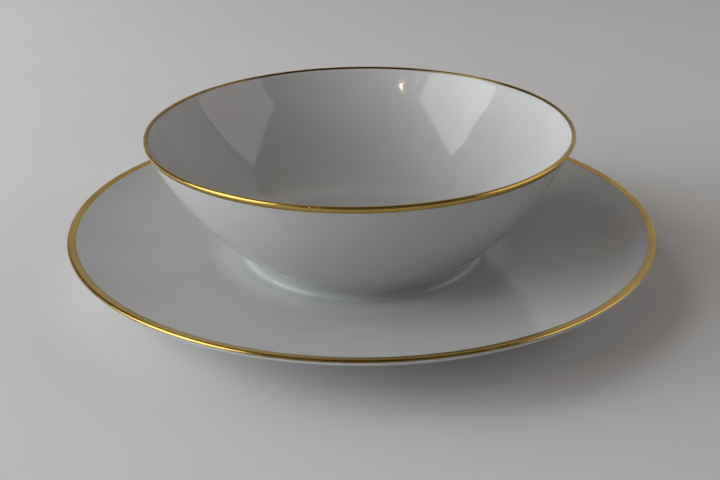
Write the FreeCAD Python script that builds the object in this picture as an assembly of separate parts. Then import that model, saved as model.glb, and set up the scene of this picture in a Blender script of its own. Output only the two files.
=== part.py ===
import FreeCAD, Part
import math
import os

# Porcelain serving bowl with its own attached underplate, gold-lined on both rims.
# Millimetres, +Z up. The origin is on the axis, at the level of the surface that
# the foot ring stands on. Every piece is a body of revolution about Z, so each
# outline below is drawn in the R-Z half plane and turned through 360 degrees.

# Underplate
PLATE_RADIUS = 106.0            # outermost point of the rim
PLATE_LIP_HEIGHT = 19.0         # centre of the rounded lip
PLATE_LIP_ROUND = 1.0           # half of the lip's thickness
WELL_TOP = 7.1                  # flat well that the bowl is luted onto
WELL_RADIUS = 50.5              # where the well starts to turn up into the flank
WELL_BLEND = 24.0               # radius of that turn
FLOOR_THICKNESS = 4.2
FLANK_ROOT_THICKNESS = 4.4      # under the turn of the well; thins to the lip
FOOT_INNER = 56.4               # standing face of the foot ring
FOOT_OUTER = 58.8
FOOT_DRAFT = 1.3                # how much wider the ring is at its root, each side
FOOT_EDGE = 0.5
FOOT_ROOT_BLEND = 2.0
VENT_RADIUS = 1.5               # lets air out of the hollow under the bowl in the kiln

# Bowl
BOWL_RADIUS = 76.1              # outermost point of the rim
BOWL_LIP_HEIGHT = 53.95         # centre of the rounded lip
BOWL_LIP_ROUND = 0.85
OUTER_WALL_ROUND = 120.0        # each face of the wall is one gentle arc
INNER_WALL_ROUND = 114.0
WALL_ROOT_THICKNESS = 3.6       # just above the neck; thins to the lip
BOWL_FLOOR_TOP = 13.8
BOWL_FLOOR_UNDER = 10.7
BOWL_FLOOR_BLEND = 27.0         # radius that turns the level floor up into the wall
NECK_FOOT_RADIUS = 42.4         # outside of the bowl's own foot ring, at its base
NECK_TOP_RADIUS = 44.0          # outside of the foot ring where the wall starts
NECK_TOP_HEIGHT = 11.1
NECK_CREASE = 1.0               # half length of the soft crease there
NECK_WALL = 3.8                 # thickness of the foot ring at its base
NECK_INNER_DRAFT = 0.6
NECK_INNER_BLEND = 1.6

# Luting slip between the bowl's foot ring and the well
SLIP_THICKNESS = 0.6
SLIP_CLIMB = 0.9                # how far the fillet climbs the neck above the seat
SLIP_SPREAD = 1.9               # how far it runs out over the well
SLIP_INNER_SPREAD = 1.2

# Gold lines, flush with the lips and let into them
GOLD_THICKNESS = 0.6
BOWL_BAND_OUTSIDE = 1.0         # below the lip's curve, down the outer wall
BOWL_BAND_INSIDE = 0.2          # below the lip's curve, down the inner wall
PLATE_BAND_WIDTH = 2.2          # inward from the lip's curve, along the flank
PLATE_BAND_END = 32.0           # degrees above level where it stops on the lip's curve


def at(radius, height):
    return FreeCAD.Vector(radius, 0.0, height)


def heading(degrees):
    angle = math.radians(degrees)
    return at(math.cos(angle), math.sin(angle))


def left_of(direction):
    return at(-direction.z, direction.x)


def line(start, end):
    return Part.makeLine(start, end)


def arc(centre, start, end):
    """The short arc about centre from start to end."""
    out = (start - centre) + (end - centre)
    middle = centre + out.normalize() * (start - centre).Length
    return Part.Arc(start, middle, end).toShape()


def bezier(*poles):
    curve = Part.BezierCurve()
    curve.setPoles(list(poles))
    return curve.toShape()


def turned(edges):
    """Solid of revolution of a closed outline."""
    face = Part.Face(Part.Wire(Part.__sortEdges__(edges)))
    return face.revolve(at(0.0, 0.0), FreeCAD.Vector(0.0, 0.0, 1.0), 360.0)


def inner_crossing(first, first_radius, second, second_radius):
    """Of the two crossings of two circles, the one nearer the axis."""
    between = second - first
    gap = between.Length
    along = (gap ** 2 + first_radius ** 2 - second_radius ** 2) / (2.0 * gap)
    aside = math.sqrt(first_radius ** 2 - along ** 2)
    base = first + between * (along / gap)
    side = left_of(between) * (aside / gap)
    return min(base + side, base - side, key=lambda crossing: crossing.x)


# Construction points that more than one piece shares
PLATE_LIP = at(PLATE_RADIUS - PLATE_LIP_ROUND, PLATE_LIP_HEIGHT)
WELL_CENTRE = at(WELL_RADIUS, WELL_TOP + WELL_BLEND)
LIP_FROM_WELL = PLATE_LIP - WELL_CENTRE
FLANK_ANGLE = math.degrees(
    math.atan2(LIP_FROM_WELL.z, LIP_FROM_WELL.x)
    + math.asin((PLATE_LIP_ROUND + WELL_BLEND) / LIP_FROM_WELL.Length))
FLANK = heading(FLANK_ANGLE)
FLANK_UP = left_of(FLANK)

SEAT_HEIGHT = WELL_TOP + SLIP_THICKNESS
NECK_FOOT = at(NECK_FOOT_RADIUS, SEAT_HEIGHT)
NECK_TOP = at(NECK_TOP_RADIUS, NECK_TOP_HEIGHT)
NECK_INNER = at(NECK_FOOT_RADIUS - NECK_WALL, SEAT_HEIGHT)
NECK_INNER_TOP = at(NECK_INNER.x - NECK_INNER_DRAFT, BOWL_FLOOR_UNDER)
BOWL_LIP = at(BOWL_RADIUS - BOWL_LIP_ROUND, BOWL_LIP_HEIGHT)
OUTER_CENTRE = inner_crossing(
    BOWL_LIP, OUTER_WALL_ROUND - BOWL_LIP_ROUND, NECK_TOP, OUTER_WALL_ROUND)
WALL_ROOT = NECK_TOP + (OUTER_CENTRE - NECK_TOP).normalize() * WALL_ROOT_THICKNESS
INNER_CENTRE = inner_crossing(
    BOWL_LIP, INNER_WALL_ROUND + BOWL_LIP_ROUND, WALL_ROOT, INNER_WALL_ROUND)


def down_wall(centre, radius, distance):
    """Point on a face of the wall, at an arc length below the lip's curve."""
    outward = (BOWL_LIP - centre).normalize()
    turn = distance / radius
    return centre + (outward * math.cos(turn) - left_of(outward) * math.sin(turn)) * radius


def bowl_rim(depth):
    """Edges over the bowl's lip, the gold line's width and depth below its face, with their ends."""
    outer_radius = OUTER_WALL_ROUND - depth
    inner_radius = INNER_WALL_ROUND + depth
    outside = down_wall(OUTER_CENTRE, outer_radius, 0.0)
    inside = down_wall(INNER_CENTRE, inner_radius, 0.0)
    top = BOWL_LIP + left_of((outside - inside).normalize()) * (BOWL_LIP_ROUND - depth)
    start = down_wall(OUTER_CENTRE, outer_radius, BOWL_BAND_OUTSIDE)
    end = down_wall(INNER_CENTRE, inner_radius, BOWL_BAND_INSIDE)
    edges = [arc(OUTER_CENTRE, start, outside), Part.Arc(outside, top, inside).toShape(),
             arc(INNER_CENTRE, inside, end)]
    return edges, start, end


def plate_rim(depth):
    """Edges of the underplate's gold line, from the flank over the lip, with their ends."""
    radius = PLATE_LIP_ROUND - depth
    flank_end = PLATE_LIP + FLANK_UP * radius
    start = flank_end - FLANK * PLATE_BAND_WIDTH
    end = PLATE_LIP + heading(PLATE_BAND_END) * radius
    edges = [line(start, flank_end), arc(PLATE_LIP, flank_end, end)]
    return edges, start, end


def bowl_body():
    """The bowl with its level floor and its own short foot ring, open below."""
    neck = (NECK_TOP - NECK_FOOT).normalize()
    crease_low = NECK_TOP - neck * NECK_CREASE
    outer_turn = (NECK_TOP - OUTER_CENTRE).getAngle(BOWL_LIP - OUTER_CENTRE)
    blend_height = BOWL_FLOOR_TOP + BOWL_FLOOR_BLEND
    blend_gap = INNER_WALL_ROUND - BOWL_FLOOR_BLEND
    blend_aside = math.sqrt(blend_gap ** 2 - (INNER_CENTRE.z - blend_height) ** 2)
    blend_centre = at(INNER_CENTRE.x + blend_aside, blend_height)
    inner_turn = (blend_centre - INNER_CENTRE).getAngle(BOWL_LIP - INNER_CENTRE)
    wall_start = down_wall(
        OUTER_CENTRE, OUTER_WALL_ROUND, OUTER_WALL_ROUND * outer_turn - NECK_CREASE)
    wall_end = down_wall(INNER_CENTRE, INNER_WALL_ROUND, INNER_WALL_ROUND * inner_turn)
    face, face_start, face_end = bowl_rim(0.0)
    seat, seat_start, seat_end = bowl_rim(GOLD_THICKNESS)
    floor_edge = at(blend_centre.x, BOWL_FLOOR_TOP)
    top_middle = at(0.0, BOWL_FLOOR_TOP)
    under_middle = at(0.0, BOWL_FLOOR_UNDER)
    under_edge = NECK_INNER_TOP - at(NECK_INNER_BLEND, 0.0)
    inner_neck = (NECK_INNER - NECK_INNER_TOP).normalize()
    inner_low = NECK_INNER_TOP + inner_neck * NECK_INNER_BLEND
    return turned(seat + [
        line(NECK_FOOT, crease_low),
        bezier(crease_low, NECK_TOP, wall_start),
        arc(OUTER_CENTRE, wall_start, face_start),
        line(face_start, seat_start),
        line(seat_end, face_end),
        arc(INNER_CENTRE, face_end, wall_end),
        arc(blend_centre, wall_end, floor_edge),
        line(floor_edge, top_middle),
        line(top_middle, under_middle),
        line(under_middle, under_edge),
        bezier(under_edge, NECK_INNER_TOP, inner_low),
        line(inner_low, NECK_INNER),
        line(NECK_INNER, NECK_FOOT)])


def underplate_body():
    """Shallow coupe plate on a foot ring, with a flat well and a vent in the middle."""
    well_edge = at(WELL_RADIUS, WELL_TOP)
    flank_start = WELL_CENTRE - FLANK_UP * WELL_BLEND
    face, face_start, face_end = plate_rim(0.0)
    seat, seat_start, seat_end = plate_rim(GOLD_THICKNESS)
    under_root = flank_start - FLANK_UP * FLANK_ROOT_THICKNESS
    to_lip = PLATE_LIP - under_root
    under_angle = math.degrees(
        math.atan2(to_lip.z, to_lip.x) - math.asin(PLATE_LIP_ROUND / to_lip.Length))
    under = heading(under_angle)
    under_end = PLATE_LIP - left_of(under) * PLATE_LIP_ROUND
    floor_under = WELL_TOP - FLOOR_THICKNESS

    root_outer = at(FOOT_OUTER + FOOT_DRAFT, 0.0)
    root_outer.z = under_root.z + (root_outer.x - under_root.x) * math.tan(math.radians(under_angle))
    root_inner = at(FOOT_INNER - FOOT_DRAFT, floor_under)
    stand_outer = at(FOOT_OUTER + FOOT_EDGE, 0.0)
    stand_inner = at(FOOT_INNER - FOOT_EDGE, 0.0)
    side_outer = (root_outer - stand_outer).normalize()
    side_inner = (root_inner - stand_inner).normalize()

    vent_top = at(VENT_RADIUS, WELL_TOP)
    vent_under = at(VENT_RADIUS, floor_under)
    blend_inner = root_inner - at(FOOT_ROOT_BLEND, 0.0)
    side_inner_top = root_inner - side_inner * FOOT_ROOT_BLEND
    side_inner_low = stand_inner + side_inner * FOOT_EDGE
    side_outer_low = stand_outer + side_outer * FOOT_EDGE
    side_outer_top = root_outer - side_outer * FOOT_ROOT_BLEND
    blend_outer = root_outer + under * FOOT_ROOT_BLEND
    face_inner = at(FOOT_INNER, 0.0)
    face_outer = at(FOOT_OUTER, 0.0)
    return turned(seat + [
        line(vent_top, well_edge),
        arc(WELL_CENTRE, well_edge, flank_start),
        line(flank_start, face_start),
        line(face_start, seat_start),
        line(seat_end, face_end),
        arc(PLATE_LIP, face_end, under_end),
        line(under_end, blend_outer),
        bezier(blend_outer, root_outer, side_outer_top),
        line(side_outer_top, side_outer_low),
        bezier(side_outer_low, stand_outer, face_outer),
        line(face_outer, face_inner),
        bezier(face_inner, stand_inner, side_inner_low),
        line(side_inner_low, side_inner_top),
        bezier(side_inner_top, root_inner, blend_inner),
        line(blend_inner, vent_under),
        line(vent_under, vent_top)])


def luting_slip():
    """The ring of slip that joins bowl and underplate, with a fillet on each side."""
    neck = (NECK_TOP - NECK_FOOT).normalize()
    inner_neck = (NECK_INNER_TOP - NECK_INNER).normalize()
    outer_climb = NECK_FOOT + neck * SLIP_CLIMB
    inner_climb = NECK_INNER + inner_neck * SLIP_CLIMB
    outer_corner = at(NECK_FOOT.x, WELL_TOP)
    inner_corner = at(NECK_INNER.x, WELL_TOP)
    outer_toe = outer_corner + at(SLIP_SPREAD, 0.0)
    inner_toe = inner_corner - at(SLIP_INNER_SPREAD, 0.0)
    return turned([
        line(NECK_INNER, NECK_FOOT),
        line(NECK_FOOT, outer_climb),
        bezier(outer_climb, outer_corner, outer_toe),
        line(outer_toe, inner_toe),
        bezier(inner_toe, inner_corner, inner_climb),
        line(inner_climb, NECK_INNER)])


def gold_band(rim):
    """Skin between a rim's face and the seat below it."""
    face, face_start, face_end = rim(0.0)
    seat, seat_start, seat_end = rim(GOLD_THICKNESS)
    return turned(seat + face + [line(seat_start, face_start), line(seat_end, face_end)])


def bowl_rim_gold_band():
    """Gold line over the bowl's lip, lower outside than inside."""
    return gold_band(bowl_rim)


def underplate_rim_gold_band():
    """Gold line on top of the underplate's rim and over its edge."""
    return gold_band(plate_rim)


PIECES = [bowl_body, underplate_body, luting_slip, bowl_rim_gold_band, underplate_rim_gold_band]

os.makedirs("parts", exist_ok=True)
for piece in PIECES:
    shape = piece()
    shape.exportStep("parts/" + piece.__name__ + ".step")
    print(piece.__name__, "volume mm3", round(shape.Volume, 1), "valid", shape.isValid())
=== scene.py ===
import bpy
import math
from mathutils import Matrix, Vector, noise


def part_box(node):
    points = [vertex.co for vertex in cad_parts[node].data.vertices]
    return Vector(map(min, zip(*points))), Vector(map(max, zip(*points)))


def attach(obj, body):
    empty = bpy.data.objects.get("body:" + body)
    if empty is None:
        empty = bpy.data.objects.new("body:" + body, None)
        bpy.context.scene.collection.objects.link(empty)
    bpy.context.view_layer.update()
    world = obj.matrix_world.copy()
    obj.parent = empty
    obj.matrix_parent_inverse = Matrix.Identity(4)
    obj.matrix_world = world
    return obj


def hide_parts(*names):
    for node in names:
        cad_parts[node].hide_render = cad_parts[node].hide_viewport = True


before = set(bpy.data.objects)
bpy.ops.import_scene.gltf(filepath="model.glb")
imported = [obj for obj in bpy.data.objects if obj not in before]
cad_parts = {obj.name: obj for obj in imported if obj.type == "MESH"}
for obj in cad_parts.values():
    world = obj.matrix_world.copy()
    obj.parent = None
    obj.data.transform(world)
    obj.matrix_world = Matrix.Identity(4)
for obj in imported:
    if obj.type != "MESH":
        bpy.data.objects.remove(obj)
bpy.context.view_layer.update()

# White porcelain bowl fired onto its own underplate, gold lines on both rims.
# Metres, +Z up, origin on the axis at table level, as in the CAD frame. Each visible
# piece is an outline in the R-Z half plane, turned about Z.

MM = 0.001

# ---------------------------------------------------------------- sizes, from the frame

LOW, HIGH = 0, 1                    # corners of a box

bowl_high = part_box("bowl_rim_gold_band")[HIGH]

PLATE_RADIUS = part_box("underplate_body")[HIGH].x
PLATE_LIP_ROUND = 1.0 * MM
PLATE_LIP_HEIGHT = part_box("underplate_rim_gold_band")[HIGH].z - PLATE_LIP_ROUND
WELL_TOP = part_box("luting_slip")[LOW].z
WELL_RADIUS = 50.5 * MM
WELL_BLEND = 24.0 * MM
FLOOR_THICKNESS = 4.2 * MM
FLANK_ROOT_THICKNESS = 4.4 * MM
FOOT_INNER = 56.4 * MM
FOOT_OUTER = 58.8 * MM
FOOT_DRAFT = 1.3 * MM
FOOT_EDGE = 0.5 * MM
FOOT_ROOT_BLEND = 2.0 * MM
VENT_RADIUS = 1.5 * MM
VENT_EDGE = 0.5 * MM                # rounding of the vent's lower edge

BOWL_RADIUS = bowl_high.x
BOWL_LIP_ROUND = 0.85 * MM
BOWL_LIP_HEIGHT = bowl_high.z - BOWL_LIP_ROUND
OUTER_WALL_ROUND = 120.0 * MM
INNER_WALL_ROUND = 114.0 * MM
LIP_EASE = 1.8 * MM                 # the inside of the wall opens a little before the lip
LIP_EASE_RADIUS = 8.0 * MM
WALL_ROOT_THICKNESS = 3.6 * MM
BOWL_FLOOR_TOP = 13.8 * MM
BOWL_FLOOR_UNDER = 10.7 * MM
BOWL_FLOOR_BLEND = 27.0 * MM
NECK_FOOT_RADIUS = 42.4 * MM
NECK_TOP_RADIUS = 44.0 * MM
NECK_TOP_HEIGHT = 11.1 * MM
NECK_CREASE = 2.4 * MM              # how far the crease under the wall is rounded
NECK_WALL = 3.8 * MM
NECK_INNER_DRAFT = 0.6 * MM
NECK_INNER_BLEND = 1.6 * MM
SLIP_THICKNESS = 0.6 * MM
SEAT_HEIGHT = WELL_TOP + SLIP_THICKNESS

LEAN = math.radians(0.58)           # the rim rose a little on the right in the kiln,
LEAN_FRONT = math.radians(0.17)     # and at the front,
LEAN_SHIFT = -0.8 * MM              # and moved to the left

FILLET_CLIMB = 2.7 * MM
FILLET_SPREAD = 2.4 * MM
FILLET_UNDERCUT = 0.6 * MM
FILLET_INSIDE_SPREAD = 1.2 * MM
FILLET_INSIDE_CLIMB = 1.4 * MM
FILLET_OVERLAP = 1.0 * MM           # how far its hidden side reaches into the bowl's foot
FILLET_SINK = 0.1 * MM              # and into the well

GOLD_FILM = 0.03 * MM
BOWL_GOLD_OUTSIDE = 1.0             # millimetres below the lip's curve
BOWL_GOLD_INSIDE = 0.15
PLATE_GOLD_INSIDE = 1.85            # millimetres of flank
PLATE_GOLD_OUTSIDE = 1.45           # millimetres round the lip
PLATE_GOLD_SPILL = 0.40             # further round on one side
SPILL_SIDE = math.radians(205.0)
EDGE_WIDTH = 0.4 * MM               # how far in from its edges the gold is thin
BOWL_INNER_FADE = 3.0 * MM          # the bowl's gold thins slowly towards its inner edge

TURN_STEPS = 240
BAND_STEPS = 1440
BAND_CROSS_STEPS = 14


# ---------------------------------------------------------------- outline tools

def at(radius, height):
    return Vector((radius, height))


def heading(angle):
    return at(math.cos(angle), math.sin(angle))


def left_of(direction):
    return at(-direction.y, direction.x)


def line(start, end, steps=1):
    return [start.lerp(end, i / steps) for i in range(steps + 1)]


def arc(centre, start, end, steps):
    """Points of the short arc about centre from start to end, both included."""
    from_angle = math.atan2(start.y - centre.y, start.x - centre.x)
    to_angle = math.atan2(end.y - centre.y, end.x - centre.x)
    sweep = (to_angle - from_angle + math.pi) % math.tau - math.pi
    radius = (start - centre).length
    return [centre + heading(from_angle + sweep * i / steps) * radius for i in range(steps + 1)]


def bezier(start, pole, end, steps=8):
    points = []
    for i in range(steps + 1):
        t = i / steps
        points.append(start * (1 - t) ** 2 + pole * (2 * t * (1 - t)) + end * t ** 2)
    return points


def chain(*stretches):
    """One outline from stretches that meet end to start."""
    outline = []
    for stretch in stretches:
        for point in stretch:
            if not outline or (point - outline[-1]).length > 1e-7:
                outline.append(point)
    return outline


def inner_crossing(first, first_radius, second, second_radius):
    """Of the two crossings of two circles, the one nearer the axis."""
    between = second - first
    gap = between.length
    along = (gap ** 2 + first_radius ** 2 - second_radius ** 2) / (2.0 * gap)
    aside = math.sqrt(first_radius ** 2 - along ** 2)
    base = first + between * (along / gap)
    side = left_of(between) * (aside / gap)
    return min(base + side, base - side, key=lambda crossing: crossing.x)


# ---------------------------------------------------------------- shared construction points

PLATE_LIP = at(PLATE_RADIUS - PLATE_LIP_ROUND, PLATE_LIP_HEIGHT)
WELL_CENTRE = at(WELL_RADIUS, WELL_TOP + WELL_BLEND)
lip_from_well = PLATE_LIP - WELL_CENTRE
FLANK_ANGLE = (math.atan2(lip_from_well.y, lip_from_well.x)
               + math.asin((PLATE_LIP_ROUND + WELL_BLEND) / lip_from_well.length))
FLANK = heading(FLANK_ANGLE)
FLANK_UP = left_of(FLANK)

NECK_FOOT = at(NECK_FOOT_RADIUS, SEAT_HEIGHT)
NECK_TOP = at(NECK_TOP_RADIUS, NECK_TOP_HEIGHT)
BOWL_LIP = at(BOWL_RADIUS - BOWL_LIP_ROUND, BOWL_LIP_HEIGHT)
OUTER_CENTRE = inner_crossing(
    BOWL_LIP, OUTER_WALL_ROUND - BOWL_LIP_ROUND, NECK_TOP, OUTER_WALL_ROUND)
WALL_ROOT = NECK_TOP + (OUTER_CENTRE - NECK_TOP).normalized() * WALL_ROOT_THICKNESS
INNER_CENTRE = inner_crossing(
    BOWL_LIP, INNER_WALL_ROUND + BOWL_LIP_ROUND, WALL_ROOT, INNER_WALL_ROUND)


def down_wall(centre, radius, distance):
    """Point on a face of the bowl's wall, at an arc length below the lip's curve."""
    outward = (BOWL_LIP - centre).normalized()
    turn = distance / radius
    return centre + (outward * math.cos(turn) - left_of(outward) * math.sin(turn)) * radius


def lip_opening(reach):
    """How far an arc of the easing radius has come away after a reach along the wall."""
    return max(0.0, reach) ** 2 / (2.0 * LIP_EASE_RADIUS)


def inner_wall(distance, lift=0.0):
    """Point on the inside of the bowl's wall, at an arc length below the lip's curve."""
    wall = down_wall(INNER_CENTRE, INNER_WALL_ROUND - lift, distance)
    away = (wall - INNER_CENTRE).normalized()
    return wall + away * lip_opening(LIP_EASE - distance)


def lip_curve(turn, lift=0.0):
    """Point on the bowl's lip: turn 0 is the top, a quarter turn the outside or the inside."""
    out = (BOWL_LIP - OUTER_CENTRE).normalized()
    inward = max(0.0, -math.sin(turn)) ** 2
    radius = BOWL_LIP_ROUND + lift - lip_opening(LIP_EASE) * inward
    return BOWL_LIP + (left_of(out) * math.cos(turn) + out * math.sin(turn)) * radius


# ---------------------------------------------------------------- turning outlines into meshes

def new_object(name, vertices, faces):
    mesh = bpy.data.meshes.new(name)
    mesh.from_pydata(vertices, [], faces)
    mesh.update()
    mesh.shade_smooth()
    obj = bpy.data.objects.new(name, mesh)
    bpy.context.collection.objects.link(obj)
    return obj


def turned(name, outline, shift=None):
    """Closed mesh from an outline that starts and ends on the axis, or is a loop off it."""
    steps = TURN_STEPS
    on_axis = outline[0].x < 1e-9
    rings = outline[1:-1] if on_axis else outline
    vertices = []
    for radius, height in rings:
        for k in range(steps):
            angle = math.tau * k / steps
            vertices.append(Vector((radius * math.cos(angle), radius * math.sin(angle), height)))
    faces = []
    for j in range(len(rings) - 1 if on_axis else len(rings)):
        here, there = j * steps, (j + 1) % len(rings) * steps
        for k in range(steps):
            after = (k + 1) % steps
            faces.append((here + k, here + after, there + after, there + k))
    if on_axis:
        first, last = len(vertices), len(vertices) + 1
        vertices += [Vector((0, 0, outline[0].y)), Vector((0, 0, outline[-1].y))]
        end = (len(rings) - 1) * steps
        for k in range(steps):
            after = (k + 1) % steps
            faces.append((first, after, k))
            faces.append((last, end + k, end + after))
    if shift:
        vertices = [shift(vertex) for vertex in vertices]
    return new_object(name, vertices, faces)


# ---------------------------------------------------------------- the bowl

def lean(point):
    """Leans the bowl from its neck up, more towards the rim."""
    rise = max(0.0, (point.z - NECK_TOP_HEIGHT) / (BOWL_LIP_HEIGHT - NECK_TOP_HEIGHT))
    ease = rise * rise * (3.0 - 2.0 * min(rise, 1.0))
    rise_by = point.x * math.sin(LEAN) - point.y * math.sin(LEAN_FRONT)
    return Vector((point.x + LEAN_SHIFT * ease, point.y, point.z + rise_by * ease))


def bowl_outline():
    neck = (NECK_TOP - NECK_FOOT).normalized()
    crease_low = NECK_TOP - neck * NECK_CREASE
    outer_turn = (NECK_TOP - OUTER_CENTRE).angle(BOWL_LIP - OUTER_CENTRE)
    wall_start = down_wall(
        OUTER_CENTRE, OUTER_WALL_ROUND, OUTER_WALL_ROUND * outer_turn - NECK_CREASE)
    blend_height = BOWL_FLOOR_TOP + BOWL_FLOOR_BLEND
    blend_gap = INNER_WALL_ROUND - BOWL_FLOOR_BLEND
    blend_aside = math.sqrt(blend_gap ** 2 - (INNER_CENTRE.y - blend_height) ** 2)
    blend_centre = at(INNER_CENTRE.x + blend_aside, blend_height)
    inner_turn = (blend_centre - INNER_CENTRE).angle(BOWL_LIP - INNER_CENTRE)
    wall_length = INNER_WALL_ROUND * inner_turn
    wall_end = inner_wall(wall_length)
    floor_edge = at(blend_centre.x, BOWL_FLOOR_TOP)
    outside = down_wall(OUTER_CENTRE, OUTER_WALL_ROUND, 0.0)
    neck_inner = at(NECK_FOOT_RADIUS - NECK_WALL, SEAT_HEIGHT)
    neck_inner_top = at(neck_inner.x - NECK_INNER_DRAFT, BOWL_FLOOR_UNDER)
    under_edge = neck_inner_top - at(NECK_INNER_BLEND, 0.0)
    inner_low = neck_inner_top + (neck_inner - neck_inner_top).normalized() * NECK_INNER_BLEND
    return chain(
        line(at(0.0, BOWL_FLOOR_UNDER), under_edge, 6),
        bezier(under_edge, neck_inner_top, inner_low, 4),
        line(inner_low, neck_inner),
        line(neck_inner, NECK_FOOT),
        line(NECK_FOOT, crease_low, 3),
        bezier(crease_low, NECK_TOP, wall_start),
        arc(OUTER_CENTRE, wall_start, outside, 56),
        [lip_curve(math.pi / 2 * (8 - i) / 8) for i in range(17)],
        [inner_wall(LIP_EASE * i / 8) for i in range(9)],
        [inner_wall(LIP_EASE + (wall_length - LIP_EASE) * i / 48) for i in range(49)],
        arc(blend_centre, wall_end, floor_edge, 24),
        line(floor_edge, at(0.0, BOWL_FLOOR_TOP), 10))


def make_bowl():
    return turned("bowl", bowl_outline(), shift=lean)


# ---------------------------------------------------------------- the underplate

def underplate_outline():
    well_edge = at(WELL_RADIUS, WELL_TOP)
    flank_start = WELL_CENTRE - FLANK_UP * WELL_BLEND
    flank_end = PLATE_LIP + FLANK_UP * PLATE_LIP_ROUND
    tip = PLATE_LIP + FLANK * PLATE_LIP_ROUND
    under_root = flank_start - FLANK_UP * FLANK_ROOT_THICKNESS
    to_lip = PLATE_LIP - under_root
    under_angle = math.atan2(to_lip.y, to_lip.x) - math.asin(PLATE_LIP_ROUND / to_lip.length)
    under = heading(under_angle)
    under_end = PLATE_LIP - left_of(under) * PLATE_LIP_ROUND
    floor_under = WELL_TOP - FLOOR_THICKNESS
    root_outer = at(FOOT_OUTER + FOOT_DRAFT, 0.0)
    root_outer.y = under_root.y + (root_outer.x - under_root.x) * math.tan(under_angle)
    root_inner = at(FOOT_INNER - FOOT_DRAFT, floor_under)
    stand_outer = at(FOOT_OUTER + FOOT_EDGE, 0.0)
    stand_inner = at(FOOT_INNER - FOOT_EDGE, 0.0)
    side_outer = (root_outer - stand_outer).normalized()
    side_inner = (root_inner - stand_inner).normalized()
    blend_outer = root_outer + under * FOOT_ROOT_BLEND
    side_outer_top = root_outer - side_outer * FOOT_ROOT_BLEND
    side_outer_low = stand_outer + side_outer * FOOT_EDGE
    side_inner_low = stand_inner + side_inner * FOOT_EDGE
    side_inner_top = root_inner - side_inner * FOOT_ROOT_BLEND
    blend_inner = root_inner - at(FOOT_ROOT_BLEND, 0.0)
    vent_under = at(VENT_RADIUS, floor_under)
    vent_foot = vent_under + at(VENT_EDGE, 0.0)
    vent_side = vent_under + at(0.0, VENT_EDGE)
    return chain(
        line(at(VENT_RADIUS, WELL_TOP), well_edge, 40),
        arc(WELL_CENTRE, well_edge, flank_start, 12),
        line(flank_start, flank_end, 40),
        arc(PLATE_LIP, flank_end, tip, 8),
        arc(PLATE_LIP, tip, under_end, 8),
        line(under_end, blend_outer, 24),
        bezier(blend_outer, root_outer, side_outer_top),
        line(side_outer_top, side_outer_low, 2),
        bezier(side_outer_low, stand_outer, at(FOOT_OUTER, 0.0), 4),
        line(at(FOOT_OUTER, 0.0), at(FOOT_INNER, 0.0), 3),
        bezier(at(FOOT_INNER, 0.0), stand_inner, side_inner_low, 4),
        line(side_inner_low, side_inner_top, 2),
        bezier(side_inner_top, root_inner, blend_inner),
        line(blend_inner, vent_foot, 20),
        bezier(vent_foot, vent_under, vent_side, 4),
        line(vent_side, at(VENT_RADIUS, WELL_TOP), 3))[:-1]


def make_underplate():
    return turned("underplate", underplate_outline())


# ---------------------------------------------------------------- the luting fillet

def fillet_outline():
    neck = (NECK_TOP - NECK_FOOT).normalized()
    outer_top = NECK_FOOT + neck * FILLET_CLIMB
    outer_corner = at(NECK_FOOT.x - neck.x * FILLET_UNDERCUT, WELL_TOP)
    outer_toe = outer_corner + at(FILLET_SPREAD, 0.0)
    inner_foot = at(NECK_FOOT.x - NECK_WALL, WELL_TOP)
    inner_toe = inner_foot - at(FILLET_INSIDE_SPREAD, 0.0)
    inner_top = inner_foot + at(-0.2 * MM, FILLET_INSIDE_CLIMB)
    inside_body = at(NECK_FOOT.x - FILLET_OVERLAP, SEAT_HEIGHT + FILLET_OVERLAP)
    sink = at(0.0, FILLET_SINK)
    return chain(
        bezier(outer_toe, outer_corner, outer_top, 14),
        line(outer_top, inside_body),
        line(inside_body, inner_top),
        bezier(inner_top, inner_foot, inner_toe, 6),
        line(inner_toe, inner_toe - sink),
        line(inner_toe - sink, outer_toe - sink))


def make_fillet():
    outline = list(reversed(fillet_outline()))
    return turned("luting_fillet", outline)


# ---------------------------------------------------------------- gold lines

def wander(angle, seed, scale):
    """Smooth noise that closes on itself round a circle."""
    place = Vector((math.cos(angle) * scale, math.sin(angle) * scale, seed))
    return noise.noise(place)


def banded(name, path, first_edge, last_edge, first_fade=EDGE_WIDTH, shift=None):
    """A thin closed film along path(distance, height), between two edges that wander."""
    vertices, faces, edge_distance = [], [], []
    steps = BAND_STEPS
    ring = 2 * (BAND_CROSS_STEPS + 1)
    for k in range(steps):
        angle = math.tau * k / steps
        first, last = first_edge(angle), last_edge(angle)
        outer, inner, to_edge = [], [], []
        for i in range(BAND_CROSS_STEPS + 1):
            share = i / BAND_CROSS_STEPS
            distance = first + (last - first) * share
            edge_fade = min(1.0, 6.0 * share, 6.0 * (1.0 - share))
            outer.append(path(distance, GOLD_FILM * (0.25 + 0.75 * edge_fade)))
            inner.append(path(distance, -GOLD_FILM))
            to_edge.append(min(1.0, (distance - first) / first_fade, (last - distance) / EDGE_WIDTH))
        for radius, height in outer + inner[::-1]:
            vertices.append(Vector((radius * math.cos(angle), radius * math.sin(angle), height)))
        edge_distance += to_edge + to_edge[::-1]
    for k in range(steps):
        here, there = k * ring, (k + 1) % steps * ring
        for i in range(ring):
            after = (i + 1) % ring
            faces.append((here + i, there + i, there + after, here + after))
    if shift:
        vertices = [shift(vertex) for vertex in vertices]
    band = new_object(name, vertices, faces)
    band.data.attributes.new("edge_distance", "FLOAT", "POINT").data.foreach_set("value", edge_distance)
    return band


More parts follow.
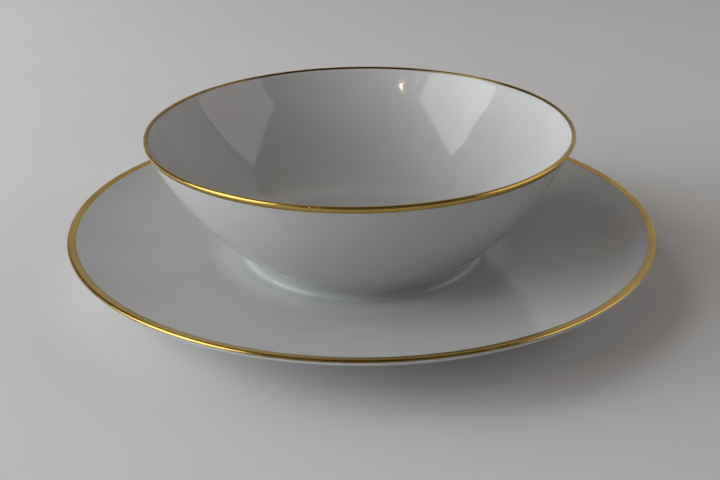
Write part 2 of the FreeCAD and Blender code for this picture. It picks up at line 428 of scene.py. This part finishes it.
def bowl_rim_path(distance, lift):
    """Point near the bowl's rim: distance runs from the top of the lip, outwards positive."""
    quarter = BOWL_LIP_ROUND * math.pi / 2
    if distance > quarter:
        return down_wall(OUTER_CENTRE, OUTER_WALL_ROUND + lift, distance - quarter)
    if distance < -quarter:
        return inner_wall(-distance - quarter, lift)
    return lip_curve(distance / BOWL_LIP_ROUND, lift)


def plate_rim_path(distance, lift):
    """Point near the underplate's rim: distance runs from the end of the flank, outwards positive."""
    radius = PLATE_LIP_ROUND + lift
    if distance < 0.0:
        return PLATE_LIP + FLANK_UP * radius + FLANK * distance
    turn = distance / PLATE_LIP_ROUND
    return PLATE_LIP + (FLANK_UP * math.cos(turn) + FLANK * math.sin(turn)) * radius


def uneven(angle, seed, broad, broad_scale, fine, fine_scale):
    """A broad waver and a fine tremble of an edge, in millimetres."""
    return broad * wander(angle, seed, broad_scale) + fine * wander(angle, seed + 1.0, fine_scale)


def make_bowl_gold():
    quarter = BOWL_LIP_ROUND * math.pi / 2

    def outside(angle):
        return quarter + (BOWL_GOLD_OUTSIDE + uneven(angle, 1.0, 0.12, 3.0, 0.03, 40.0)) * MM

    def inside(angle):
        return -quarter - (BOWL_GOLD_INSIDE + uneven(angle, 3.0, 0.12, 4.0, 0.04, 50.0)) * MM

    return banded("bowl_gold_line", bowl_rim_path, inside, outside, BOWL_INNER_FADE, shift=lean)


def make_plate_gold():
    def inner(angle):
        return -(PLATE_GOLD_INSIDE + uneven(angle, 5.0, 0.12, 3.0, 0.04, 60.0)) * MM

    def outer(angle):
        spill = PLATE_GOLD_SPILL * max(0.0, math.cos(angle - SPILL_SIDE)) ** 2
        return (PLATE_GOLD_OUTSIDE + spill + uneven(angle, 7.0, 0.08, 4.0, 0.04, 50.0)) * MM

    return banded("underplate_gold_line", plate_rim_path, inner, outer)


# ---------------------------------------------------------------- materials

BODY_DARK = (0.525, 0.530, 0.528)
BODY_PALE = (0.565, 0.568, 0.562)
BODY_SPECK = (0.14, 0.11, 0.09)
# greenish thick-glaze tint, darkened as painted shade of the crease round the neck
CREASE_SHADE_GLAZE = (0.42, 0.46, 0.46)
BISCUIT_PALE = (0.60, 0.56, 0.49)
BISCUIT_DARK = (0.42, 0.37, 0.31)
GLAZE_IOR = 1.52
GLAZE_SMOOTH, GLAZE_SMUDGED = 0.055, 0.11
BISCUIT_ROUGHER = 0.6
CREASE_SHADE_RADIUS = 44.5 * MM             # middle of the ring of thick-glaze tint and painted crease shade round the neck
THROWING_RINGS = 2400.0             # radians per metre of radius

GOLD_BRIGHT = (0.70, 0.48, 0.13)
GOLD_DEEP = (0.56, 0.36, 0.09)
GOLD_THIN = (0.21, 0.14, 0.06)
GOLD_WORN = (0.48, 0.36, 0.20)
GOLD_BURNISHED, GOLD_DULL = 0.13, 0.30

PAPER_DARK = (0.735, 0.735, 0.735)
PAPER_PALE = (0.765, 0.765, 0.762)
PAPER_DUST = (0.22, 0.20, 0.18)
PAPER_ROUGHNESS = 0.6


def new_material(name):
    material = bpy.data.materials.new(name)
    material.use_nodes = True
    nodes = material.node_tree.nodes
    links = material.node_tree.links
    return material, nodes, links, nodes["Principled BSDF"]


def add(nodes, kind, **values):
    node = nodes.new(kind)
    for key, value in values.items():
        if key in node.inputs:
            node.inputs[key].default_value = value
        else:
            setattr(node, key, value)
    return node


def math_node(nodes, links, operation, first, second=None):
    """A maths node; each value is a number or an output socket."""
    node = add(nodes, "ShaderNodeMath", operation=operation)
    for socket, value in zip(node.inputs, (first, second)):
        if value is None:
            continue
        if isinstance(value, (int, float)):
            socket.default_value = value
        else:
            links.new(value, socket)
    return node.outputs[0]


def remap(nodes, links, value, from_low, from_high, to_low, to_high):
    node = add(nodes, "ShaderNodeMapRange", clamp=True)
    links.new(value, node.inputs["Value"])
    for name, number in (("From Min", from_low), ("From Max", from_high),
                         ("To Min", to_low), ("To Max", to_high)):
        node.inputs[name].default_value = number
    return node.outputs["Result"]


def noise_of(nodes, links, vector, scale, detail=2.0, roughness=0.5):
    node = add(nodes, "ShaderNodeTexNoise", Scale=scale, Detail=detail, Roughness=roughness)
    links.new(vector, node.inputs["Vector"])
    return node.outputs["Fac"]


def blend(nodes, links, share, first, second):
    """Colour mixed from first to second; each is a colour or an output socket."""
    node = add(nodes, "ShaderNodeMix", data_type="RGBA")
    links.new(share, node.inputs["Factor"])
    for name, value in (("A", first), ("B", second)):
        socket = [entry for entry in node.inputs if entry.name == name and entry.type == "RGBA"][0]
        if isinstance(value, tuple):
            socket.default_value = (*value, 1.0)
        else:
            links.new(value, socket)
    return [entry for entry in node.outputs if entry.type == "RGBA"][0]


def radius_of(nodes, links, place):
    """Distance from the axis, as a node output."""
    flat = add(nodes, "ShaderNodeVectorMath", operation="MULTIPLY")
    links.new(place, flat.inputs[0])
    flat.inputs[1].default_value = (1.0, 1.0, 0.0)
    length = add(nodes, "ShaderNodeVectorMath", operation="LENGTH")
    links.new(flat.outputs["Vector"], length.inputs[0])
    return length.outputs["Value"]


def specks(nodes, links, place, scale, size, chance):
    """1 on a few small spots, 0 elsewhere."""
    cells = add(nodes, "ShaderNodeTexVoronoi", Scale=scale)
    links.new(place, cells.inputs["Vector"])
    near = remap(nodes, links, cells.outputs["Distance"], size * 0.5, size, 1.0, 0.0)
    pick = add(nodes, "ShaderNodeSeparateColor")
    links.new(cells.outputs["Color"], pick.inputs["Color"])
    chosen = math_node(nodes, links, "LESS_THAN", pick.outputs["Red"], chance)
    return math_node(nodes, links, "MULTIPLY", near, chosen)


def bump_chain(nodes, links, heights):
    """Normal from several heights, each (output socket, depth in metres)."""
    normal = None
    for height, depth in heights:
        bump = add(nodes, "ShaderNodeBump", Strength=1.0, Distance=depth)
        links.new(height, bump.inputs["Height"])
        if normal:
            links.new(normal, bump.inputs["Normal"])
        normal = bump.outputs["Normal"]
    return normal


def porcelain_body(nodes, links, place, axis_distance, height):
    """White body with a few iron specks, and a greenish, darker ring round the neck: thick-glaze tint with
    painted shade of the crease.
    """
    cloud = noise_of(nodes, links, place, scale=22.0, detail=3.0)
    body = blend(nodes, links, remap(nodes, links, cloud, 0.35, 0.65, 0.0, 1.0), BODY_DARK, BODY_PALE)
    # painted shade: the ring in the crease where bowl and plate meet is darkened, along with the green tint
    # of thick glaze
    from_crease_ring = math_node(nodes, links, "SUBTRACT", axis_distance, CREASE_SHADE_RADIUS)
    from_crease_ring = math_node(nodes, links, "ABSOLUTE", from_crease_ring)
    near_neck = remap(nodes, links, from_crease_ring, 0.6 * MM, 3.2 * MM, 1.0, 0.0)
    low = remap(nodes, links, height, 9.0 * MM, 12.0 * MM, 1.0, 0.0)
    crease_shade = math_node(nodes, links, "MULTIPLY", near_neck, low)
    crease_shade = math_node(nodes, links, "MULTIPLY", crease_shade, 0.6)
    body = blend(nodes, links, crease_shade, body, CREASE_SHADE_GLAZE)
    dots = specks(nodes, links, place, scale=62.0, size=0.017, chance=0.16)
    return blend(nodes, links, math_node(nodes, links, "MULTIPLY", dots, 0.75), body, BODY_SPECK)


def glaze_relief(nodes, links, place, axis_distance):
    """Heights of the glaze: slow and medium waves, orange peel and throwing rings."""
    slow = noise_of(nodes, links, place, scale=28.0, detail=1.0)
    medium = noise_of(nodes, links, place, scale=70.0, detail=1.0)
    fine = noise_of(nodes, links, place, scale=520.0, detail=2.0)
    phase = math_node(nodes, links, "MULTIPLY", axis_distance, THROWING_RINGS)
    drift = math_node(nodes, links, "MULTIPLY", slow, 5.0)
    rings = math_node(nodes, links, "SINE", math_node(nodes, links, "ADD", phase, drift))
    return [(slow, 0.45 * MM), (medium, 0.2 * MM), (fine, 0.003 * MM), (rings, 0.0007 * MM)]


def porcelain():
    """Clear glaze over white body, with a bare ring where the foot stands."""
    material, nodes, links, shader = new_material("glazed_porcelain")
    place = add(nodes, "ShaderNodeTexCoord").outputs["Object"]
    axis_distance = radius_of(nodes, links, place)
    split = add(nodes, "ShaderNodeSeparateXYZ")
    links.new(place, split.inputs["Vector"])
    height = split.outputs["Z"]

    body = porcelain_body(nodes, links, place, axis_distance, height)
    bare = remap(nodes, links, height, 0.15 * MM, 0.45 * MM, 1.0, 0.0)
    grit = noise_of(nodes, links, place, scale=900.0, detail=4.0, roughness=0.7)
    biscuit = blend(nodes, links, remap(nodes, links, grit, 0.4, 0.7, 0.0, 1.0), BISCUIT_PALE, BISCUIT_DARK)
    links.new(blend(nodes, links, bare, body, biscuit), shader.inputs["Base Color"])

    smudge = noise_of(nodes, links, place, scale=34.0, detail=4.0, roughness=0.6)
    gloss = remap(nodes, links, smudge, 0.35, 0.75, GLAZE_SMOOTH, GLAZE_SMUDGED)
    rough = math_node(nodes, links, "ADD", gloss, math_node(nodes, links, "MULTIPLY", bare, BISCUIT_ROUGHER))
    links.new(rough, shader.inputs["Roughness"])
    shader.inputs["IOR"].default_value = GLAZE_IOR
    heights = glaze_relief(nodes, links, place, axis_distance)
    links.new(bump_chain(nodes, links, heights), shader.inputs["Normal"])
    return material


def gold():
    """Bright gold line, burnished along the rim, thin and brownish at its edges."""
    material, nodes, links, shader = new_material("burnished_gold")
    place = add(nodes, "ShaderNodeTexCoord").outputs["Object"]
    edge = add(nodes, "ShaderNodeAttribute", attribute_name="edge_distance").outputs["Fac"]
    wear = noise_of(nodes, links, place, scale=260.0, detail=4.0, roughness=0.65)
    tone = noise_of(nodes, links, place, scale=45.0, detail=2.0)
    metal = blend(nodes, links, remap(nodes, links, tone, 0.35, 0.65, 0.0, 1.0), GOLD_BRIGHT, GOLD_DEEP)
    thick = math_node(nodes, links, "ADD", edge, math_node(nodes, links, "MULTIPLY", wear, 0.5))
    metal = blend(nodes, links, remap(nodes, links, thick, 0.35, 0.75, 1.0, 0.0), metal, GOLD_THIN)
    worn = remap(nodes, links, wear, 0.66, 0.74, 0.0, 0.55)
    metal = blend(nodes, links, worn, metal, GOLD_WORN)
    links.new(metal, shader.inputs["Base Color"])
    shader.inputs["Metallic"].default_value = 1.0
    dullness = remap(nodes, links, wear, 0.3, 0.75, GOLD_BURNISHED, GOLD_DULL)
    links.new(dullness, shader.inputs["Roughness"])
    brush = noise_of(nodes, links, place, scale=1500.0, detail=2.0)
    swell = noise_of(nodes, links, place, scale=120.0, detail=1.0)
    heights = [(swell, 0.06 * MM), (brush, 0.004 * MM)]
    links.new(bump_chain(nodes, links, heights), shader.inputs["Normal"])
    return material


def table_surface():
    """Plain pale paper, with faint mottling and a little dust."""
    material, nodes, links, shader = new_material("pale_table")
    place = add(nodes, "ShaderNodeTexCoord").outputs["Object"]
    mottle = noise_of(nodes, links, place, scale=9.0, detail=5.0, roughness=0.6)
    paper = blend(nodes, links, remap(nodes, links, mottle, 0.3, 0.7, 0.0, 1.0), PAPER_DARK, PAPER_PALE)
    dust = specks(nodes, links, place, scale=42.0, size=0.012, chance=0.12)
    paper = blend(nodes, links, math_node(nodes, links, "MULTIPLY", dust, 0.6), paper, PAPER_DUST)
    links.new(paper, shader.inputs["Base Color"])
    shader.inputs["Roughness"].default_value = PAPER_ROUGHNESS
    grain = noise_of(nodes, links, place, scale=1400.0, detail=3.0)
    links.new(bump_chain(nodes, links, [(grain, 0.04 * MM)]), shader.inputs["Normal"])
    return material


# ---------------------------------------------------------------- stage, lights, camera

FLOOR_RADIUS = 4.0
LENS = 58.7                         # millimetres, on a sensor 36 mm wide
CAMERA_PITCH = math.radians(24.449)
CAMERA_ROLL = math.radians(-0.12)
CAMERA_PLACE = Vector((-0.7 * MM, -397.35 * MM, PLATE_LIP_HEIGHT + 171.56 * MM))


def make_floor():
    bpy.ops.mesh.primitive_circle_add(vertices=96, radius=FLOOR_RADIUS, fill_type="NGON")
    floor = bpy.context.object
    floor.name = "floor"
    floor.data.materials.append(table_surface())


def direction(azimuth, elevation):
    """Unit vector; azimuth 0 is +Y, 90 is +X."""
    a, e = math.radians(azimuth), math.radians(elevation)
    return Vector((math.sin(a) * math.cos(e), math.cos(a) * math.cos(e), math.sin(e)))


def panel(name, middle, width, height, radiance, colour):
    """A rectangular light of an even brightness, facing down until it is turned."""
    light = bpy.data.lights.new(name, "AREA")
    light.shape = "RECTANGLE"
    light.size = width
    light.size_y = height
    light.energy = radiance * math.pi * width * height
    light.color = colour
    obj = bpy.data.objects.new(name, light)
    obj.location = middle
    obj.visible_camera = False
    bpy.context.collection.objects.link(obj)
    return obj


def window(name, azimuth, distance, left, right, bottom, top, radiance, colour):
    """A rectangular light that faces the bowl: angles of its edges seen from the bowl's rim."""
    facing = direction(azimuth, 0.0)
    sideways = Vector((facing.y, -facing.x, 0.0))
    lo, hi = math.tan(math.radians(left)) * distance, math.tan(math.radians(right)) * distance
    floor_z, top_z = math.tan(math.radians(bottom)) * distance, math.tan(math.radians(top)) * distance
    rim = Vector((0.0, 0.0, BOWL_LIP_HEIGHT))
    middle = rim + facing * distance + sideways * ((lo + hi) / 2) + Vector((0, 0, (floor_z + top_z) / 2))
    obj = panel(name, middle, hi - lo, top_z - floor_z, radiance, colour)
    obj.rotation_euler = (-facing).to_track_quat("-Z", "Y").to_euler()
    return obj


def lamp(name, azimuth, elevation, distance, radius, energy, colour):
    light = bpy.data.lights.new(name, "POINT")
    light.shadow_soft_size = radius
    light.energy = energy
    light.color = colour
    obj = bpy.data.objects.new(name, light)
    obj.location = Vector((0, 0, BOWL_LIP_HEIGHT)) + direction(azimuth, elevation) * distance
    obj.visible_camera = False
    bpy.context.collection.objects.link(obj)


def make_windows():
    """The two windows whose reflections stand inside the bowl, and the walls beside them."""
    window("window_left", azimuth=-105.0, distance=1.2, left=-29.5, right=18.0,
           bottom=0.5, top=48.0, radiance=2.8, colour=(0.91, 0.965, 1.0))
    window("window_right", azimuth=95.0, distance=1.2, left=-27.0, right=19.0,
           bottom=2.0, top=44.7, radiance=1.15, colour=(1.0, 0.96, 0.95))
    window("wall_far_left", azimuth=-60.0, distance=1.6, left=-27.0, right=27.0,
           bottom=0.5, top=24.0, radiance=0.12, colour=(0.97, 0.99, 1.0))
    window("wall_far_right", azimuth=42.0, distance=1.6, left=-22.0, right=25.0,
           bottom=0.5, top=42.0, radiance=0.38, colour=(1.0, 0.96, 0.93))


def make_reflected_room():
    """Dim walls and a ceiling that the glaze and the gold mirror."""
    surfaces = [
        window("wall_back_low", azimuth=-6.0, distance=1.6, left=-30.0, right=28.0,
               bottom=2.0, top=31.0, radiance=0.36, colour=(1.0, 0.98, 0.96)),
        window("wall_back_high", azimuth=-6.0, distance=1.6, left=-40.0, right=40.0,
               bottom=31.0, top=62.0, radiance=0.30, colour=(1.0, 0.96, 0.92)),
        panel("ceiling", middle=(0.0, 1.0, 1.5), width=2.6, height=2.2,
              radiance=0.13, colour=(1.0, 0.86, 0.68)),
        window("wall_front", azimuth=175.0, distance=1.6, left=-50.0, right=50.0,
               bottom=0.5, top=60.0, radiance=0.10, colour=(1.0, 0.97, 0.92))]
    for surface in surfaces:
        surface.visible_diffuse = False


def make_washes():
    """Broad soft light with no reflection of its own."""
    washes = [
        window("wash_low", azimuth=-80.0, distance=0.85, left=-33.0, right=33.0,
               bottom=0.5, top=26.0, radiance=4.4, colour=(1.0, 1.0, 0.99)),
        window("wash_high", azimuth=-74.0, distance=1.2, left=-35.0, right=35.0,
               bottom=46.0, top=66.0, radiance=1.05, colour=(1.0, 1.0, 0.98)),
        window("wash_front", azimuth=-142.0, distance=1.0, left=-15.0, right=15.0,
               bottom=0.5, top=20.0, radiance=0.6, colour=(1.0, 1.0, 0.99))]
    for wash in washes:
        wash.visible_glossy = False


def make_lamps():
    """Two small warm lamps, seen as points near the bowl's far rim."""
    lamp("lamp_warm", azimuth=-149.5, elevation=41.4, distance=1.5,
         radius=7.0 * MM, energy=1.5, colour=(1.0, 0.70, 0.42))
    lamp("lamp_warm_far", azimuth=-139.9, elevation=39.4, distance=1.5,
         radius=7.0 * MM, energy=0.90, colour=(1.0, 0.62, 0.45))


def make_world():
    world = bpy.data.worlds.new("room")
    world.use_nodes = True
    background = world.node_tree.nodes["Background"]
    background.inputs["Color"].default_value = (1.0, 0.84, 0.76, 1.0)
    background.inputs["Strength"].default_value = 0.04
    world.cycles_visibility.glossy = False
    bpy.context.scene.world = world


def make_camera():
    camera = bpy.data.cameras.new("camera")
    camera.sensor_width = 36.0
    camera.lens = LENS
    obj = bpy.data.objects.new("camera", camera)
    obj.matrix_world = (Matrix.Translation(CAMERA_PLACE)
                        @ Matrix.Rotation(math.pi / 2 - CAMERA_PITCH, 4, "X")
                        @ Matrix.Rotation(CAMERA_ROLL, 4, "Z"))
    bpy.context.collection.objects.link(obj)
    bpy.context.scene.camera = obj


def finish_piece(piece, node, material):
    piece.data.materials.append(material)
    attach(piece, "root")
    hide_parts(node)


glaze = porcelain()
gilding = gold()
finish_piece(make_bowl(), "bowl_body", glaze)
finish_piece(make_underplate(), "underplate_body", glaze)
finish_piece(make_fillet(), "luting_slip", glaze)
finish_piece(make_bowl_gold(), "bowl_rim_gold_band", gilding)
finish_piece(make_plate_gold(), "underplate_rim_gold_band", gilding)
make_floor()
make_windows()
make_reflected_room()
make_washes()
make_lamps()
make_world()
make_camera()
bpy.context.scene.view_settings.view_transform = "Standard"
